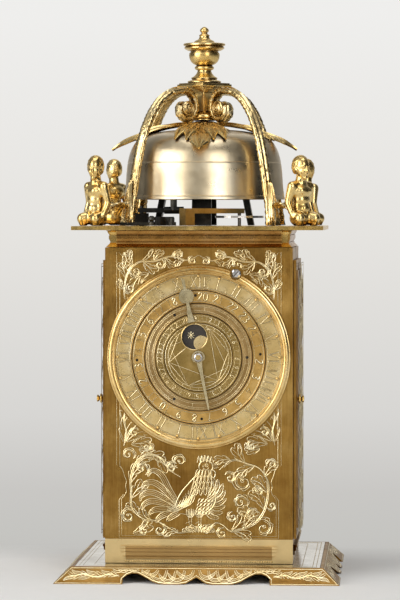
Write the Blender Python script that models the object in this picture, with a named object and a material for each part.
"""Tower table clock: a gilt brass case on a scalloped base, a bell under four scrolled straps, and its movement.

Metres, +Z up. The dial faces -Y. The origin is the middle of the base, on the table.
"""
from math import atan2, cos, hypot, pi, sin, sqrt

import bmesh
import bpy
from mathutils import Matrix, Vector

# Driving sizes of the whole clock
body_width = 0.1187
base_height = 0.0098
base_slope_run = 0.0103
base_top_width = 0.158
case_top_z = 0.2205
top_plate_width = 0.158
top_plate_thickness = 0.0025
dial_centre_z = 0.1403
seat_gap = 0.0003
cut_overrun = 0.002
finest_merge = 0.00002

half_body = body_width / 2
plate_top_z = case_top_z + top_plate_thickness
train_x = 0.024

corner_signs = {
    "front_left": (-1, -1),
    "front_right": (1, -1),
    "back_left": (-1, 1),
    "back_right": (1, 1),
}


# Materials
def make_material(name, colour, roughness, metallic):
    material = bpy.data.materials.new(name)
    material.use_nodes = True
    shader = material.node_tree.nodes["Principled BSDF"]
    shader.inputs["Base Color"].default_value = (*colour, 1.0)
    shader.inputs["Roughness"].default_value = roughness
    shader.inputs["Metallic"].default_value = metallic
    return material


def make_materials():
    return {
        "gilt": make_material("gilt_brass", (0.83, 0.60, 0.24), 0.22, 1.0),
        "gilt_dark": make_material("gilt_engraved", (0.62, 0.43, 0.16), 0.35, 1.0),
        "bronze": make_material("bell_bronze", (0.72, 0.66, 0.55), 0.28, 1.0),
        "iron": make_material("black_iron", (0.03, 0.03, 0.03), 0.45, 0.8),
        "steel": make_material("bright_steel", (0.60, 0.60, 0.62), 0.25, 1.0),
        "brass": make_material("movement_brass", (0.72, 0.52, 0.20), 0.35, 1.0),
        "gut": make_material("gut_line", (0.55, 0.40, 0.22), 0.7, 0.0),
    }


# Tools for making one closed mesh
def finish(name, bm, material, location=(0, 0, 0), rotation=(0, 0, 0), smooth_angle=None, origin=None):
    """Makes the object. An origin is a world point that the mesh, drawn in world places, is re-centred on."""
    bmesh.ops.remove_doubles(bm, verts=bm.verts, dist=finest_merge)
    bmesh.ops.recalc_face_normals(bm, faces=bm.faces)
    if origin is not None:
        bmesh.ops.translate(bm, verts=bm.verts, vec=-Vector(origin))
        location = origin
    mesh = bpy.data.meshes.new(name)
    bm.to_mesh(mesh)
    bm.free()
    mesh.materials.append(material)
    obj = bpy.data.objects.new(name, mesh)
    bpy.context.scene.collection.objects.link(obj)
    obj.location = location
    obj.rotation_euler = rotation
    if smooth_angle is not None:
        mesh.shade_smooth()
        mesh.set_sharp_from_angle(angle=smooth_angle)
    return obj


def add_turned(bm, profile, segments, closed=False, matrix=None):
    """A solid turned about local Z from (radius, z) points: an open profile ends on the axis, a closed one is a ring."""
    rings = []
    for radius, z in profile:
        if radius == 0:
            rings.append([bm.verts.new((0, 0, z))])
            continue
        turn = [2 * pi * i / segments for i in range(segments)]
        rings.append([bm.verts.new((radius * cos(a), radius * sin(a), z)) for a in turn])
    pairs = list(zip(rings, rings[1:]))
    if closed:
        pairs.append((rings[-1], rings[0]))
    for low, high in pairs:
        for i in range(segments):
            j = (i + 1) % segments
            corners = [low[i % len(low)], low[j % len(low)], high[j % len(high)], high[i % len(high)]]
            unique = list(dict.fromkeys(corners))
            if len(unique) > 2:
                bm.faces.new(unique)
    if matrix is not None:
        made = [v for ring in rings for v in ring]
        bmesh.ops.transform(bm, matrix=matrix, verts=made)


def turned(name, profile, material, segments, closed=False, **place):
    bm = bmesh.new()
    add_turned(bm, profile, segments, closed)
    return finish(name, bm, material, smooth_angle=pi / 5, **place)


def add_rod(bm, radius, start, end, segments=8):
    """A round bar between two points."""
    start, end = Vector(start), Vector(end)
    run = end - start
    turn = run.to_track_quat("Z", "Y").to_matrix().to_4x4()
    matrix = Matrix.Translation(start) @ turn
    add_turned(bm, [(0, 0), (radius, 0), (radius, run.length), (0, run.length)], segments, matrix=matrix)


def add_slab(bm, outline, low, high, holes=()):
    """A flat plate with an outline and holes in local XY, from z low to z high."""
    before = set(bm.verts)
    edges = []
    for loop in (outline, *holes):
        verts = [bm.verts.new((x, y, low)) for x, y in loop]
        edges += [bm.edges.new((a, b)) for a, b in zip(verts, verts[1:] + verts[:1])]
    filled = bmesh.ops.triangle_fill(bm, use_beauty=True, use_dissolve=False, edges=edges)
    faces = [f for f in filled["geom"] if isinstance(f, bmesh.types.BMFace)]
    grown = bmesh.ops.extrude_face_region(bm, geom=faces, use_keep_orig=True)
    raised = [v for v in grown["geom"] if isinstance(v, bmesh.types.BMVert)]
    bmesh.ops.translate(bm, verts=raised, vec=(0, 0, high - low))
    return [v for v in bm.verts if v not in before]


def slab(name, outline, low, high, material, holes=(), **place):
    bm = bmesh.new()
    add_slab(bm, outline, low, high, holes)
    return finish(name, bm, material, **place)


def add_box(bm, low, high):
    corners = [(x, y, z) for z in (low[2], high[2]) for y in (low[1], high[1]) for x in (low[0], high[0])]
    verts = [bm.verts.new(c) for c in corners]
    for face in ((0, 2, 3, 1), (4, 5, 7, 6), (0, 1, 5, 4), (2, 6, 7, 3), (0, 4, 6, 2), (1, 3, 7, 5)):
        bm.faces.new([verts[i] for i in face])


def add_levels(bm, levels):
    """A stack of rectangles (z, x_low, x_high, y_low, y_high), bridged into one solid."""
    rings = []
    for z, x_low, x_high, y_low, y_high in levels:
        plan = ((x_low, y_low), (x_high, y_low), (x_high, y_high), (x_low, y_high))
        rings.append([bm.verts.new((x, y, z)) for x, y in plan])
    bm.faces.new(rings[0][::-1])
    bm.faces.new(rings[-1])
    for low, high in zip(rings, rings[1:]):
        for i in range(4):
            j = (i + 1) % 4
            bm.faces.new((low[i], low[j], high[j], high[i]))


def circle(radius, count, centre=(0, 0), start=0.0):
    turn = [start + 2 * pi * i / count for i in range(count)]
    return [(centre[0] + radius * cos(a), centre[1] + radius * sin(a)) for a in turn]


def combine(name, bm_builders, material, operation="UNION", smooth_angle=pi / 5, origin=(0, 0, 0)):
    """One object made of several closed shapes that a Boolean joins."""
    objects = []
    for index, build in enumerate(bm_builders):
        bm = bmesh.new()
        build(bm)
        objects.append(finish(name if index == 0 else name + "_tool", bm, material, origin=origin))
    body, tools = objects[0], objects[1:]
    for tool in tools:
        join(body, tool, operation)
    body.data.shade_smooth()
    body.data.set_sharp_from_angle(angle=smooth_angle)
    return body


def join(body, tool, operation):
    modifier = body.modifiers.new(operation.lower(), "BOOLEAN")
    modifier.operation = operation
    modifier.solver = "EXACT"
    modifier.object = tool
    tool.hide_render = True
    tool.display_type = "WIRE"


def cut_rods(body, rods, segments=12):
    """Drills round holes, each (radius, start, end), through a body."""
    bm = bmesh.new()
    for radius, start, end in rods:
        add_rod(bm, radius, start, end, segments)
    tool = finish(body.name + "_drill", bm, body.data.materials[0])
    join(body, tool, "DIFFERENCE")


def tube_mesh(bm, path, sections, normals):
    """A solid lofted along a path. Each section lists (across, out) points, out along that point's normal."""
    rings = []
    for i, point in enumerate(path):
        ahead = path[min(i + 1, len(path) - 1)] - path[max(i - 1, 0)]
        out = normals[i].normalized()
        across = ahead.cross(out).normalized()
        rings.append([bm.verts.new(point + across * a + out * o) for a, o in sections[i]])
    count = len(rings[0])
    bm.faces.new(rings[0][::-1])
    bm.faces.new(rings[-1])
    for low, high in zip(rings, rings[1:]):
        for i in range(count):
            j = (i + 1) % count
            bm.faces.new((low[i], low[j], high[j], high[i]))


# Base: a plate on four mitred aprons with scalloped lower edges
apron_thickness = 0.0019
apron_arch_height = 0.0062
apron_lobe_height = 0.0042
base_plate_thickness = 0.0028
base_foot_width = 0.009
base_foot_inset = 0.012
# The scallops run from the foot to the middle, as shares of the half width at the table
scallop_shares = [(0.515, 0), (0.515, 0.55), (0.49, 0.82), (0.455, 1.0), (0.41, 0.97), (0.36, 0.66), (0.31, 0.28),
                  (0.26, 0.06), (0.22, 0.0), (0.12, 0.0), (0.07, 0.12), (0.035, 0.4)]


def apron_outline():
    """(x, height) points of one apron, with the scallops cut into its lower edge."""
    half_top = base_top_width / 2 - seat_gap / 2
    half_foot = half_top + base_slope_run
    left = [(-half_foot * x, apron_arch_height * h) for x, h in scallop_shares]
    right = [(-x, h) for x, h in left[::-1]]
    return [(-half_foot, 0), *left, (0, apron_lobe_height), *right, (half_foot, 0), (half_top, base_height),
            (-half_top, base_height)]


def make_apron(name, turn, materials):
    """One sloping engraved plate. Its ends are mitred, so the four meet at the corners."""
    slope = base_slope_run / base_height
    face_top = base_top_width / 2
    bm = bmesh.new()
    verts = add_slab(bm, apron_outline(), 0, apron_thickness)
    for vert in verts:
        x, height, depth = vert.co
        reach = face_top + (base_height - height) * slope
        at_mitre = abs(x) > reach - seat_gap
        if at_mitre:
            x -= depth * (1 if x > 0 else -1)
        vert.co = (x, -reach + depth, height)
    return finish(name, bm, materials["gilt_dark"], rotation=(0, 0, turn))


def make_base(materials):
    for index, side in enumerate(("front", "right", "back", "left")):
        make_apron(side + "_apron", index * pi / 2, materials)
    half_plate = base_top_width / 2 - apron_thickness - seat_gap

    def plate(bm):
        low = base_height - base_plate_thickness
        add_box(bm, (-half_plate, -half_plate, low), (half_plate, half_plate, base_height))

    def blocks(bm):
        far = half_plate - base_foot_inset + base_foot_width
        near = far - base_foot_width
        for x, y in corner_signs.values():
            xs = sorted((near * x, far * x))
            ys = sorted((near * y, far * y))
            add_box(bm, (xs[0], ys[0], 0), (xs[1], ys[1], base_height - base_plate_thickness / 2))

    combine("base_plate", (plate, blocks), materials["gilt"])


# Case: front and back panels, two side frames with doors, frieze and mouldings
panel_thickness = 0.0022
panel_top_z = 0.2094
dial_hole_radius = 0.0042
screw_hole_radius = 0.0033
screw_recess_radius = 0.0038
screw_place = (0.0235, 0.0525)
winding_hole_radius = 0.0050
door_low_z = 0.0250
door_high_z = 0.2014
door_side_inset = 0.00815
door_half_width = half_body - door_side_inset
door_thickness = 0.0024
door_opening_margin = 0.0055
frieze_inset = 0.00315
frieze_half = half_body - frieze_inset
frieze_wall = 0.0032
frieze_flare = 0.0027
upper_moulding_inset = 0.0038
upper_moulding_half = frieze_half - upper_moulding_inset
upper_moulding_reach = 0.0040
lower_moulding_inset = 0.01305
lower_moulding_half = half_body - lower_moulding_inset
lower_moulding_reach = 0.0034
lower_moulding_low_z = 0.0122
lower_moulding_high_z = 0.0209
# (share of the height, share of the reach)
upper_moulding_shares = [(0, 0.45), (0.28, 0.6), (0.28, 0.45), (0.5, 0.75), (0.7, 0.75), (0.7, 0.6), (0.85, 0.9),
                         (1.0, 1.0)]
lower_moulding_shares = [(0, 0.2), (0.25, 0.35), (0.3, 0.6), (0.55, 0.6), (0.6, 0.85), (0.8, 0.85), (0.84, 1.0),
                         (1.0, 1.0)]


def add_moulding(bm, half_width, reach, low_z, high_z, shares, face, grow, turn):
    """A run of moulding on a wall. Its back lies at face, and grow sets how far its ends step out with its profile."""
    profile = [(0, low_z), *[(reach * out, low_z + (high_z - low_z) * height) for height, out in shares], (0, high_z)]
    sides = []
    for sign in (-1, 1):
        sides.append([bm.verts.new((sign * (half_width + out * grow), -face - out, z)) for out, z in profile])
    bm.faces.new(sides[0])
    bm.faces.new(sides[1][::-1])
    count = len(profile)
    for i in range(count):
        j = (i + 1) % count
        bm.faces.new((sides[0][i], sides[1][i], sides[1][j], sides[0][j]))
    bmesh.ops.rotate(bm, verts=sides[0] + sides[1], matrix=Matrix.Rotation(turn, 3, "Z"))


def add_foot_moulding(bm, turn):
    """The moulding along the foot of one wall. It runs into the wall, and its ends step with its profile."""
    add_moulding(bm, lower_moulding_half, lower_moulding_reach, lower_moulding_low_z, lower_moulding_high_z,
                 lower_moulding_shares, half_body - panel_thickness / 2, 1, turn)


def add_upright(bm, outline, holes, y):
    """A slab drawn in XZ, standing with its front face at y - panel_thickness and its back at y."""
    made = add_slab(bm, outline, 0, panel_thickness, holes)
    bmesh.ops.rotate(bm, verts=made, matrix=Matrix.Rotation(pi / 2, 3, "X"))
    bmesh.ops.translate(bm, verts=made, vec=(0, y, 0))


def make_panels(materials):
    """Front and back are drawn in XZ, and stand at the two ends of the case."""
    low = base_height + seat_gap
    outline = [(-half_body, low), (half_body, low), (half_body, panel_top_z), (-half_body, panel_top_z)]
    screw_x, screw_up = screw_place
    front_holes = [circle(dial_hole_radius, 16, (0, dial_centre_z)),
                   circle(screw_hole_radius, 12, (screw_x, dial_centre_z + screw_up))]
    back_holes = [circle(winding_hole_radius, 16, (x, fusee_z)) for x in (-train_x, train_x)]
    for name, holes, y, turn in (("front_panel", front_holes, -half_body + panel_thickness, 0),
                                 ("back_panel", back_holes, half_body, pi)):
        def wall(bm):
            add_upright(bm, outline, holes, y)

        def moulding(bm):
            add_foot_moulding(bm, turn)

        combine(name, (wall, moulding), materials["gilt_dark"], smooth_angle=pi / 7)


def make_side_frame(name, sign, materials):
    """A side frame fits between the front and back panels, with an opening behind the door, and its hinges' pins."""
    half = half_body - panel_thickness - seat_gap
    open_half = door_half_width - door_opening_margin
    low = base_height + seat_gap
    outline = [(-half, low), (half, low), (half, panel_top_z), (-half, panel_top_z)]
    sill = door_low_z + door_opening_margin
    lintel = door_high_z - door_opening_margin
    opening = [(-open_half, sill), (open_half, sill), (open_half, lintel), (-open_half, lintel)]
    face = sign * half_body

    def wall(bm):
        add_upright(bm, outline, (opening,), -half_body + panel_thickness)
        bmesh.ops.rotate(bm, verts=bm.verts, matrix=Matrix.Rotation(sign * pi / 2, 3, "Z"))

    def moulding(bm):
        add_foot_moulding(bm, sign * pi / 2)

    def hinge_leaves(bm):
        axis = hinge_place(sign)
        xs = sorted((face - sign * panel_thickness / 2, face + sign * (seat_gap + knuckle_radius)))
        for z in hinge_heights():
            for lug_low, lug_high in fixed_lugs(z):
                add_box(bm, (xs[0], axis.y, lug_low), (xs[1], half, lug_high))

    def knuckles(bm):
        axis = hinge_place(sign)
        for z in hinge_heights():
            for lug_low, lug_high in fixed_lugs(z):
                add_rod(bm, knuckle_radius, (axis.x, axis.y, lug_low), (axis.x, axis.y, lug_high), knuckle_facets)

    def pins(bm):
        axis = hinge_place(sign)
        for z in hinge_heights():
            ends = fixed_lugs(z)
            pin_low, pin_high = ends[0][0], ends[1][1]
            add_rod(bm, hinge_pin_radius, (axis.x, axis.y, pin_low), (axis.x, axis.y, pin_high), knuckle_facets)

    combine(name, (wall, moulding, hinge_leaves, knuckles, pins), materials["gilt_dark"], smooth_angle=pi / 7)


def make_frieze(materials):
    """A square collar that narrows in a cavetto above the panels and flares under the top plate."""
    low, high = panel_top_z + seat_gap, case_top_z - seat_gap
    inner = frieze_half - frieze_wall
    steps = [(low, frieze_half + frieze_flare)]
    for i in range(1, 4):
        angle = i * pi / 8
        steps.append((low + frieze_flare * sin(angle), frieze_half + frieze_flare * (1 - sin(angle))))
    steps += [(low + frieze_flare, frieze_half), (high - frieze_flare, frieze_half),
              (high - frieze_flare * 0.4, frieze_half + frieze_flare * 0.4), (high, frieze_half + frieze_flare)]
    profile = [(half * sqrt(2), z) for z, half in steps] + [(inner * sqrt(2), high), (inner * sqrt(2), low)]

    def collar(bm):
        add_turned(bm, profile, 4, closed=True, matrix=Matrix.Rotation(pi / 4, 4, "Z"))

    def moulding(bm):
        for index in range(4):
            add_moulding(bm, upper_moulding_half, upper_moulding_reach, low, high, upper_moulding_shares,
                         frieze_half - frieze_wall / 2, 0, index * pi / 2)

    combine("frieze", (collar, moulding), materials["gilt_dark"], smooth_angle=pi / 7)


# Doors: each turns on a pin at its rear edge and is held by a turn button
knuckle_radius = 0.0016
knuckle_bore = 0.0010
hinge_pin_radius = 0.0008
hinge_back = 0.0023
knuckle_length = 0.0110
knuckle_gap = 0.0004
knuckle_facets = 6
hinge_share = 0.36
lug_share = 0.45
button_radius = 0.0030
button_shaft_radius = 0.0009
button_bore = 0.0011
button_tongue_length = 0.0098
button_tongue_width = 0.0036
button_tongue_thickness = 0.0012
door_border = 0.0065
door_step = 0.0007


def door_face_x(sign):
    return sign * (half_body + seat_gap)


def hinge_place(sign):
    return Vector((door_face_x(sign) + sign * knuckle_radius, door_half_width + hinge_back, 0))


def hinge_heights():
    middle = (door_low_z + door_high_z) / 2
    reach = (door_high_z - door_low_z) * hinge_share
    return (middle - reach, middle + reach)


def latch_place(sign):
    edge = -door_half_width + door_opening_margin
    return Vector((0, edge + button_tongue_width / 2 + seat_gap * 2, (door_low_z + door_high_z) / 2))


def make_door(name, sign, materials):
    inner = door_face_x(sign)
    outer = inner + sign * door_thickness
    axis = hinge_place(sign)

    def leaf(bm):
        xs = sorted((inner, outer - sign * door_step))
        add_box(bm, (xs[0], -door_half_width, door_low_z), (xs[1], door_half_width, door_high_z))

    def raised_field(bm):
        xs = sorted((inner + sign * door_step, outer))
        add_box(bm, (xs[0], -door_half_width + door_border, door_low_z + door_border),
                (xs[1], door_half_width - door_border, door_high_z - door_border))

    def knuckles(bm):
        for z in hinge_heights():
            low = z - knuckle_length / 2
            profile = [(knuckle_bore, low), (knuckle_radius, low), (knuckle_radius, low + knuckle_length),
                       (knuckle_bore, low + knuckle_length)]
            add_turned(bm, profile, knuckle_facets, closed=True, matrix=Matrix.Translation(axis))

    def straps(bm):
        for z in hinge_heights():
            xs = sorted((inner, outer - sign * door_step))
            start = door_half_width - door_border * 0.5
            end = axis.y - knuckle_bore * 1.15
            add_box(bm, (xs[0], start, z - knuckle_length / 2 + knuckle_gap),
                    (xs[1], end, z + knuckle_length / 2 - knuckle_gap))

    body = combine(name, (leaf, raised_field, knuckles, straps), materials["gilt_dark"], smooth_angle=pi / 6,
                   origin=(axis.x, axis.y, 0))
    place = latch_place(sign)
    reach = door_thickness + cut_overrun
    tip = (inner + sign * reach, place.y, place.z)
    cut_rods(body, [(button_bore, (inner - sign * cut_overrun, place.y, place.z), tip)])
    return body


def fixed_lugs(z):
    """Lowest and highest point of each fixed knuckle beside the moving one at height z."""
    near = knuckle_length / 2 + knuckle_gap
    far = near + knuckle_length * lug_share
    return [(z - far, z - near), (z + near, z + far)]


def make_latch(name, sign, materials):
    """A turned button outside the door, and a tongue that stands upright when the door is free."""
    place = latch_place(sign)
    outer = door_face_x(sign) + sign * (door_thickness + seat_gap)
    behind = sign * (half_body - panel_thickness - seat_gap)
    far = behind - sign * button_tongue_thickness
    shares = [(0, 0), (0.75, 0), (1, 0.25), (0.95, 0.5), (0.4, 0.65), (0.75, 0.95), (0.7, 1.2), (0, 1.3)]

    def button(bm):
        profile = [(button_radius * r, button_radius * h) for r, h in shares]
        turn = Matrix.Rotation(sign * pi / 2, 4, "Y")
        add_turned(bm, profile, 6, matrix=Matrix.Translation((outer, place.y, place.z)) @ turn)

    def shaft(bm):
        near = outer + sign * button_radius / 2
        add_rod(bm, button_shaft_radius, (far, place.y, place.z), (near, place.y, place.z), 6)

    def tongue(bm):
        xs = sorted((behind, far))
        half = button_tongue_width / 2
        add_box(bm, (xs[0], place.y - half, place.z - half), (xs[1], place.y + half, place.z + button_tongue_length - half))

    return combine(name, (button, shaft, tongue), materials["gilt"], origin=(0, place.y, place.z))


# Top plate, with holes for the verge and the hammer arbor
verge_place = (train_x, -0.0250)
hammer_place = (-0.0400, -0.0120)
verge_radius = 0.0011
hammer_arbor_radius = 0.0013
arbor_hole_gap = 0.0007


def make_top_plate(materials):
    half = top_plate_width / 2
    outline = [(-half, -half), (half, -half), (half, half), (-half, half)]
    holes = [circle(verge_radius + arbor_hole_gap, 12, verge_place),
             circle(hammer_arbor_radius + arbor_hole_gap, 12, hammer_place)]
    plate = slab("top_plate", outline, case_top_z, plate_top_z, materials["gilt"], holes)
    return plate


# Bell, on a four-legged iron stand, under the rosette, column and finial
bell_radius = 0.0523
bell_rim_z = 0.2401
bell_crown_z = 0.2855
bell_wall = 0.0026
bell_hole_radius = 0.0032
stud_radius = 0.0026
stand_width = 0.0125
stand_thickness = 0.0040
stand_foot_radius = 0.0325
stand_shoulder_radius = 0.0265
stand_shoulder_z = 0.2540
stand_crown_z = 0.2790
# Outside of the bell: shares of its radius and of its height above the rim
bell_shares = [(1.0, 0), (0.98, 0.16), (0.964, 0.42), (0.94, 0.6), (0.896, 0.74), (0.82, 0.855), (0.68, 0.935),
               (0.42, 0.985)]
bell_facets = 22
column_low_z = 0.2965
column_high_z = 0.3099
column_half = 0.0050
torus_radius = 0.0084
torus_low_z = 0.2912
abacus_half = 0.0126
abacus_top_z = 0.3156
finial_top_z = 0.3524
finial_radius = 0.0136


def make_bell(materials):
    height = bell_crown_z - bell_rim_z
    outside = [(bell_radius * r, bell_rim_z + height * h) for r, h in bell_shares]
    inside = []
    for (r0, z0), (r1, z1) in list(zip(outside, outside[1:]))[::2]:
        lean = atan2(z1 - z0, r1 - r0)
        inside.append(((r0 + r1) / 2 - bell_wall * sin(lean), (z0 + z1) / 2 + bell_wall * cos(lean)))
    lip = (bell_radius - bell_wall, bell_rim_z)
    top = [(bell_hole_radius, bell_crown_z), (bell_hole_radius, bell_crown_z - bell_wall)]
    profile = outside + top + inside[::-1] + [lip]
    turned("bell", profile, materials["bronze"], bell_facets, closed=True)


def make_stand(materials):
    """Two crossed straps, splayed at the foot, that meet under the bell's crown and carry its stud."""
    def strap(turn):
        def build(bm):
            profile = [(stand_foot_radius, plate_top_z + seat_gap), (stand_shoulder_radius, stand_shoulder_z),
                       (stand_shoulder_radius * 0.72, stand_crown_z - stand_thickness * 1.2),
                       (stand_shoulder_radius * 0.3, stand_crown_z)]
            inner = [(r - stand_thickness, z) for r, z in profile[:2]]
            inner += [(profile[2][0] - stand_thickness, profile[2][1] - stand_thickness * 0.4),
                      (profile[3][0] * 0.8, profile[3][1] - stand_thickness)]
            left = [(-r, z) for r, z in profile[::-1]]
            under_left = [(-r, z) for r, z in inner]
            under_right = inner[::-1]
            outline = profile + left + under_left + under_right
            made = add_slab(bm, outline, -stand_width / 2, stand_width / 2)
            bmesh.ops.rotate(bm, verts=made, matrix=Matrix.Rotation(pi / 2, 3, "X"))
            bmesh.ops.rotate(bm, verts=made, matrix=Matrix.Rotation(turn, 3, "Z"))
        return build

    def stud(bm):
        start = stand_crown_z - stand_thickness / 2
        end = column_low_z + (column_high_z - column_low_z) / 2
        add_rod(bm, stud_radius, (0, 0, start), (0, 0, end), 8)

    def shoulder(bm):
        seat = bell_crown_z - bell_wall - seat_gap
        add_rod(bm, stud_radius * 2, (0, 0, stand_crown_z - stand_thickness / 2), (0, 0, seat), 8)

    return combine("bell_stand", (strap(0), strap(pi / 2), shoulder, stud), materials["iron"], smooth_angle=pi / 7)


def make_column(materials):
    """Round torus, square shaft turned to face the four straps, and a square abacus, all one casting."""
    def torus(bm):
        height = column_low_z - torus_low_z
        bore = stud_radius + seat_gap
        profile = [(bore, torus_low_z), (torus_radius * 0.86, torus_low_z), (torus_radius, torus_low_z + height * 0.3),
                   (torus_radius, torus_low_z + height * 0.65), (torus_radius * 0.86, column_low_z),
                   (bore, column_low_z)]
        add_turned(bm, profile, 16, closed=True)

    def shaft(bm):
        flare = abacus_half - column_half
        half = [(column_low_z - (column_low_z - torus_low_z) * 0.3, column_half),
                (column_high_z, column_half), (column_high_z + (abacus_top_z - column_high_z) * 0.25, column_half * 1.25),
                (abacus_top_z - (abacus_top_z - column_high_z) * 0.4, column_half + flare * 0.72),
                (abacus_top_z - (abacus_top_z - column_high_z) * 0.18, abacus_half * 0.8),
                (abacus_top_z - (abacus_top_z - column_high_z) * 0.18, abacus_half), (abacus_top_z, abacus_half)]
        add_levels(bm, [(z, -h, h, -h, h) for z, h in half])
        bmesh.ops.rotate(bm, verts=bm.verts, matrix=Matrix.Rotation(pi / 4, 3, "Z"))

    column = combine("bell_column", (torus, shaft), materials["gilt"], smooth_angle=pi / 6)
    bore_end = column_low_z + (column_high_z - column_low_z) / 2 + seat_gap
    cut_rods(column, [(stud_radius + seat_gap, (0, 0, torus_low_z - cut_overrun), (0, 0, bore_end))])


# The urn finial: shares of its radius and of its height above the abacus
finial_shares = [(0, 0), (0.78, 0), (0.76, 0.035), (0.5, 0.115), (0.33, 0.21), (0.42, 0.27), (0.42, 0.31), (0.62, 0.37),
                 (0.72, 0.52), (0.72, 0.56), (0.9, 0.59), (1.0, 0.68), (0.97, 0.7), (0.5, 0.74), (0.28, 0.79),
                 (0.19, 0.9), (0.11, 0.97), (0, 1.0)]
finial_facets = 12


def make_finial(materials):
    low = abacus_top_z + seat_gap
    height = finial_top_z - low
    profile = [(finial_radius * r, low + height * h) for r, h in finial_shares]
    turned("finial", profile, materials["gilt"], finial_facets)


# Rosette: four long creased leaves that droop over the bell's shoulder, each between two leaflets
leaf_width = 0.0150
leaf_thickness = 0.0010
leaf_crease_share = 0.2
leaflet_width = 0.0088
leaflet_spread = pi / 11
rosette_hub_radius = 0.0078
rosette_top_z = torus_low_z - seat_gap
# A leaf's middle line (share of the bell's radius, share of its height) and its width there, from hub to tip
leaf_line_shares = [(0.09, 1.09), (0.37, 1.075), (0.60, 1.005), (0.85, 0.91), (1.0, 0.835), (1.15, 0.71)]
leaflet_line_shares = [(0.09, 1.085), (0.40, 1.06), (0.68, 1.005), (0.885, 0.86)]
leaf_width_shares = [0.5, 0.5, 0.72, 0.95, 0.9, 0.14]
leaflet_width_shares = [0.5, 0.6, 1.0, 0.16]


def add_leaf(bm, line_shares, width_shares, width, turn):
    """A leaf with a crease along its middle, thin at the edges and pointed at its tip."""
    before = set(bm.verts)
    rings = []
    bell_height = bell_crown_z - bell_rim_z
    for (out_share, up_share), width_share in zip(line_shares, width_shares):
        out = bell_radius * out_share
        z = bell_rim_z + bell_height * up_share
        half = width / 2 * width_share
        fall = half * leaf_crease_share + leaf_thickness / 2
        plan = [(-half, -fall), (0, 0), (half, -fall)]
        rings.append([bm.verts.new((out, y, z + rise)) for y, rise in plan])
    bm.faces.new(rings[0])
    bm.faces.new(rings[-1][::-1])
    for low, high in zip(rings, rings[1:]):
        for i in range(len(low)):
            j = (i + 1) % len(low)
            bm.faces.new((low[i], high[i], high[j], low[j]))
    made = [v for v in bm.verts if v not in before]
    bmesh.ops.rotate(bm, verts=made, matrix=Matrix.Rotation(turn, 3, "Z"))


def make_rosette(materials):
    def hub(bm):
        bore = stud_radius + seat_gap
        low = bell_crown_z + seat_gap
        profile = [(bore, low), (rosette_hub_radius, low), (rosette_hub_radius, rosette_top_z - leaf_thickness),
                   (rosette_hub_radius * 0.8, rosette_top_z), (bore, rosette_top_z)]
        add_turned(bm, profile, 8, closed=True)

    def leaves(bm):
        for quarter in range(4):
            add_leaf(bm, leaf_line_shares, leaf_width_shares, leaf_width, quarter * pi / 2)

    def leaflets(side):
        def build(bm):
            for quarter in range(4):
                turn = quarter * pi / 2 + side * leaflet_spread
                add_leaf(bm, leaflet_line_shares, leaflet_width_shares, leaflet_width, turn)
        return build

    builders = (hub, leaves, leaflets(1), leaflets(-1))
    rosette = combine("bell_rosette", builders, materials["gilt"], smooth_angle=pi / 7)
    bore_top = torus_low_z + cut_overrun
    cut_rods(rosette, [(stud_radius + seat_gap, (0, 0, bell_crown_z - cut_overrun), (0, 0, bore_top))])


# Straps: each rises in a diagonal plane from a corner and curls into a volute beside the column
strap_width = 0.0064
strap_thickness = 0.0038
boss_radius = 0.0044
boss_reach = 0.0021
volute_centre_out = 0.0166
volute_centre_z = 0.2990
# The volute's spiral: quarter turns past the horizontal, and the middle line's distance from its centre
volute_radius = 0.0116
volute_line_shares = [(0.82, 1.02), (1.1, 0.95), (1.4, 0.84), (1.75, 0.74), (2.15, 0.68), (2.6, 0.63), (3.1, 0.58),
                      (3.6, 0.52), (4.2, 0.45)]
# Points of the strap's middle line below the volute: distance from the clock's axis, height over the plate
strap_foot_out = 0.0632
strap_line = [(strap_foot_out, seat_gap), (0.0627, 0.0110), (0.0602, 0.0250), (0.0572, 0.0400), (0.0535, 0.0540),
              (0.0496, 0.0640), (0.0445, 0.0730), (0.0369, 0.0813), (0.0278, 0.0862)]


def strap_points():
    """The strap's middle line in its own plane, as (out, z), with the volute's spiral at its end."""
    points = [(out, plate_top_z + up) for out, up in strap_line]
    for quarters, share in volute_line_shares:
        angle = quarters * pi / 2
        radius = volute_radius * share
        points.append((volute_centre_out + radius * cos(angle), volute_centre_z + radius * sin(angle)))
    return points


def make_strap(corner, signs, materials):
    outward = Vector((signs[0], signs[1], 0)).normalized()
    points = strap_points()
    path = [outward * out + Vector((0, 0, z)) for out, z in points]
    across = outward.cross(Vector((0, 0, 1)))
    half = strap_width / 2
    normals, sections = [], []
    for i, point in enumerate(path):
        ahead = path[min(i + 1, len(path) - 1)] - path[max(i - 1, 0)]
        normals.append(across.cross(ahead).normalized() * -1)
        tail = i / (len(path) - 1)
        rise = strap_thickness / 2 * (1 - 0.35 * tail)
        broad = half * (1.25 if i == 0 else 1.0)
        sections.append([(-broad, -rise * 0.8), (-broad, rise * 0.4), (-broad * 0.4, rise), (broad * 0.4, rise),
                         (broad, rise * 0.4), (broad, -rise * 0.8)])

    def band(bm):
        tube_mesh(bm, path, sections, normals)

    def boss(bm):
        middle = outward * volute_centre_out + Vector((0, 0, volute_centre_z))
        reach = half + boss_reach
        turn = across.to_track_quat("Z", "Y").to_matrix().to_4x4()
        shares = [(0, -1.0), (0.5, -0.76), (1.0, -0.62), (1.0, 0.62), (0.5, 0.76), (0, 1.0)]
        profile = [(boss_radius * r, reach * z) for r, z in shares]
        add_turned(bm, profile, 8, matrix=Matrix.Translation(middle) @ turn)

    combine("bell_strap_" + corner, (band, boss), materials["gilt"], smooth_angle=pi / 5)


# Corner figures: each rises from acanthus leaves on a corner of the plate, and faces outwards
figure_clearance = 0.0273
figure_out = strap_foot_out + figure_clearance
figure_height = 0.0490
figure_detail = 0.42
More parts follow.
